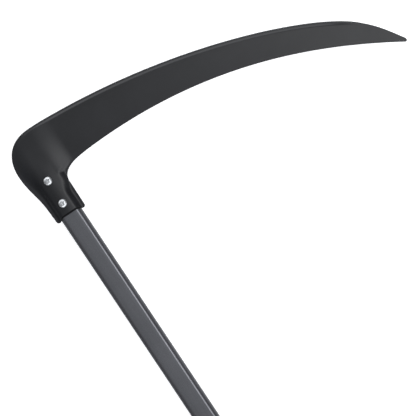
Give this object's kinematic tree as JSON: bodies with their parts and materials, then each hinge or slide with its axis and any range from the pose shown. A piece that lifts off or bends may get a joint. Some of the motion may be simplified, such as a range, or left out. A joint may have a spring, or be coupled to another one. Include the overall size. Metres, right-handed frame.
{
  "type": "hand scythe",
  "caption": "Long-handled hand scythe: a curved pressed steel blade bolted on a rounded tube handle, with an end grip and a side grip that slides and tilts.",
  "frame": {"origin": "middle of the hanging hole in the end cap, on the handle's centre line", "axes": "+Y along the handle towards the blade, +X the way the blade reaches, +Z out of the blade's ribbed face"},
  "size_m": [0.4383, 1.1816, 0.181],
  "materials": {
    "black_steel": "satin black",
    "grey_tube": "satin grey anodised",
    "plug_plastic": "matte",
    "zinc": "bright zinc plate",
    "nylon": "satin",
    "grip_rubber": "matte",
    "black_plastic": "fine grained"
  },
  "bodies": {
    "scythe": {"blade": "black_steel", "handle_tube": "grey_tube", "tube_plug": "plug_plastic", "upper_blade_screw": "zinc", "lower_blade_screw": "zinc", "upper_washer": "zinc", "lower_washer": "zinc", "upper_lock_nut": "zinc", "lower_lock_nut": "zinc", "lock_nut_rings": "nylon", "end_grip": "grip_rubber", "end_cap": "black_plastic"},
    "grip_clamp": {"clamp_front": "black_plastic", "clamp_rear": "black_plastic", "clamp_screws": "zinc", "clamp_nuts": "zinc", "pivot_bolt": "zinc", "grip_washer": "zinc"},
    "grip_handle": {"grip_post": "zinc", "side_grip": "grip_rubber", "side_grip_cap": "black_plastic"},
    "lock_wing": {"wing_nut": "zinc"}
  },
  "joints": [
    {"name": "side_grip_slide", "type": "slide", "parent": "scythe", "child": "grip_clamp", "axis": [0, 1, 0], "range_m": [-0.16, 0.2]},
    {"name": "side_grip_tilt", "type": "hinge", "parent": "grip_clamp", "child": "grip_handle", "pos_m": [0, 0.56, 0.032], "axis": [1, 0, 0], "range_deg": [-50, 50]},
    {"name": "wing_nut_turn", "type": "hinge", "parent": "grip_clamp", "child": "lock_wing", "pos_m": [0.012, 0.56, 0.032], "axis": [1, 0, 0], "continuous": true}
  ]
}
